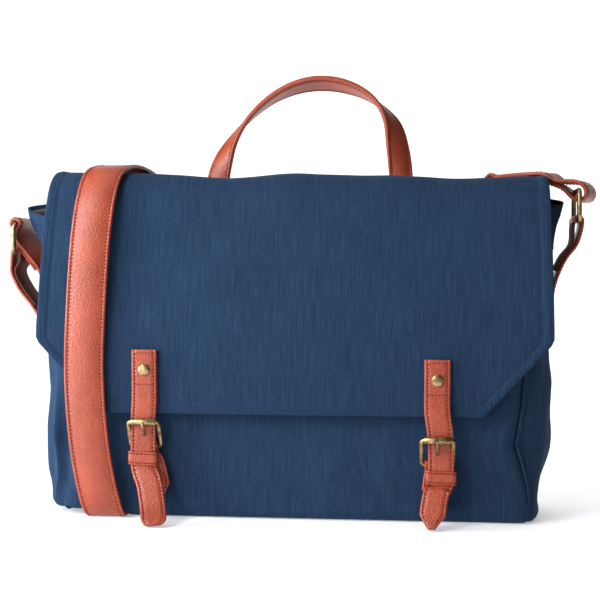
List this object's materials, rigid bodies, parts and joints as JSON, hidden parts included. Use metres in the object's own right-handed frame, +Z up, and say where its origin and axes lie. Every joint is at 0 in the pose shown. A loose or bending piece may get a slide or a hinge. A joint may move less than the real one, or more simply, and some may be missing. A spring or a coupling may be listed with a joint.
{
  "type": "messenger bag",
  "caption": "Canvas messenger bag with full front flap, leather closures with roller buckles, top handle and shoulder strap.",
  "frame": {"origin": "middle of the base on the floor", "axes": "+X along the width to the right as seen from the flap side, -Y out of the flap, +Z up"},
  "size_m": [0.4666, 0.1353, 0.3627],
  "materials": {
    "canvas": "matte",
    "lining": "matte",
    "leather": "satin",
    "antique_brass": "satin",
    "board": "matte",
    "zip_tape": "matte"
  },
  "bodies": {
    "bag": {"back_panel": "canvas", "base_panel": "canvas", "base_stiffener": "board", "front_panel": "canvas", "handle_anchors": "leather", "laptop_sleeve": "lining", "left_gusset": "canvas", "left_side_tab": "leather", "lining": "lining", "mouth_binding": "canvas", "right_gusset": "canvas", "right_side_tab": "leather", "shoulder_strap_left_run": "leather", "shoulder_strap_right_run": "leather", "side_tab_rivets": "antique_brass", "slip_pocket": "lining", "snap_studs": "antique_brass", "strap_adjuster": "antique_brass", "strap_keeper": "leather", "zip_pocket": "lining", "zip_tapes": "zip_tape", "zip_teeth": "antique_brass"},
    "flap_top": {"flap_top": "canvas", "flap_top_lining": "lining"},
    "flap_middle": {"flap_middle": "canvas", "flap_middle_lining": "lining"},
    "flap_front": {"flap_front": "canvas", "flap_front_lining": "lining", "left_strap_end": "leather", "right_strap_end": "leather", "left_flap_rivet": "antique_brass", "right_flap_rivet": "antique_brass"},
    "handle": {"handle": "leather"},
    "strap_loop": {"shoulder_strap_loop": "leather"},
    "zip_slider": {"zip_slider": "antique_brass"},
    "zip_pull": {"zip_pull": "antique_brass"},
    "left_closure": {"left_closure_strap": "leather", "left_buckle_frame": "antique_brass", "left_chape": "leather", "left_keeper": "leather", "left_snap_socket": "antique_brass", "left_chape_rivet": "antique_brass"},
    "left_roller": {"left_buckle_roller": "antique_brass"},
    "left_prong": {"left_buckle_prong": "antique_brass"},
    "left_ring": {"left_ring": "antique_brass", "left_ring_strap_end": "leather"},
    "right_closure": {"right_closure_strap": "leather", "right_buckle_frame": "antique_brass", "right_chape": "leather", "right_keeper": "leather", "right_snap_socket": "antique_brass", "right_chape_rivet": "antique_brass"},
    "right_roller": {"right_buckle_roller": "antique_brass"},
    "right_prong": {"right_buckle_prong": "antique_brass"},
    "right_ring": {"right_ring": "antique_brass", "right_ring_strap_end": "leather"}
  },
  "joints": [
    {"name": "flap_hinge", "type": "hinge", "parent": "bag", "child": "flap_top", "pos_m": [0, 0.0468, 0.263], "axis": [-1, 0, 0], "range_deg": [0, 170], "deforming": ["shoulder_strap_loop", "shoulder_strap_right_run"]},
    {"name": "flap_ridge_fold", "type": "hinge", "parent": "flap_top", "child": "flap_middle", "pos_m": [0, -0.01, 0.2732], "axis": [-1, 0, 0], "range_deg": [0, 80]},
    {"name": "flap_front_fold", "type": "hinge", "parent": "flap_middle", "child": "flap_front", "pos_m": [0, -0.04885, 0.25025], "axis": [-1, 0, 0], "range_deg": [0, 80]},
    {"name": "handle_fold", "type": "hinge", "parent": "bag", "child": "handle", "pos_m": [0.0035, 0.052, 0.232], "axis": [-1, 0, 0], "range_deg": [0, 126]},
    {"name": "strap_slip", "type": "slide", "parent": "bag", "child": "strap_loop", "axis": [-1, 0, 0], "range_m": [0, 0.105], "deforming": ["shoulder_strap_left_run"]},
    {"name": "zip_slide", "type": "slide", "parent": "bag", "child": "zip_slider", "axis": [-1, 0, 0], "range_m": [0, 0.16]},
    {"name": "zip_pull_swing", "type": "hinge", "parent": "zip_slider", "child": "zip_pull", "pos_m": [0.089, 0.0108, 0.18], "axis": [-1, 0, 0], "range_deg": [0, 80]},
    {"name": "left_closure_swing", "type": "hinge", "parent": "flap_front", "child": "left_closure", "pos_m": [-0.1145, -0.06, 0.1067], "axis": [-1, 0, 0], "range_deg": [0, 75]},
    {"name": "left_roller_turn", "type": "hinge", "parent": "left_closure", "child": "left_roller", "pos_m": [-0.1145, -0.06275, 0.0782], "axis": [1, 0, 0], "continuous": true},
    {"name": "left_prong_lift", "type": "hinge", "parent": "left_closure", "child": "left_prong", "pos_m": [-0.1145, -0.053, 0.0582], "axis": [1, 0, 0], "range_deg": [0, 35]},
    {"name": "left_ring_swing", "type": "hinge", "parent": "bag", "child": "left_ring", "pos_m": [-0.233, 0, 0.211], "axis": [0, -1, 0], "range_deg": [0, 30]},
    {"name": "right_closure_swing", "type": "hinge", "parent": "flap_front", "child": "right_closure", "pos_m": [0.1145, -0.06, 0.1006], "axis": [-1, 0, 0], "range_deg": [0, 75]},
    {"name": "right_roller_turn", "type": "hinge", "parent": "right_closure", "child": "right_roller", "pos_m": [0.1145, -0.06275, 0.0671], "axis": [1, 0, 0], "continuous": true},
    {"name": "right_prong_lift", "type": "hinge", "parent": "right_closure", "child": "right_prong", "pos_m": [0.1145, -0.053, 0.0471], "axis": [1, 0, 0], "range_deg": [0, 35]},
    {"name": "right_ring_swing", "type": "hinge", "parent": "bag", "child": "right_ring", "pos_m": [0.225, 0, 0.236], "axis": [0, 1, 0], "range_deg": [0, 30]}
  ],
  "couplings": [
    {"joint": "flap_ridge_fold", "follows": "flap_hinge", "ratio": 0.47},
    {"joint": "flap_front_fold", "follows": "flap_hinge", "ratio": 0.47},
    {"joint": "handle_fold", "follows": "flap_hinge", "ratio": 0.741},
    {"joint": "strap_slip", "follows": "flap_hinge", "m_per_rad": 0.035388}
  ]
}
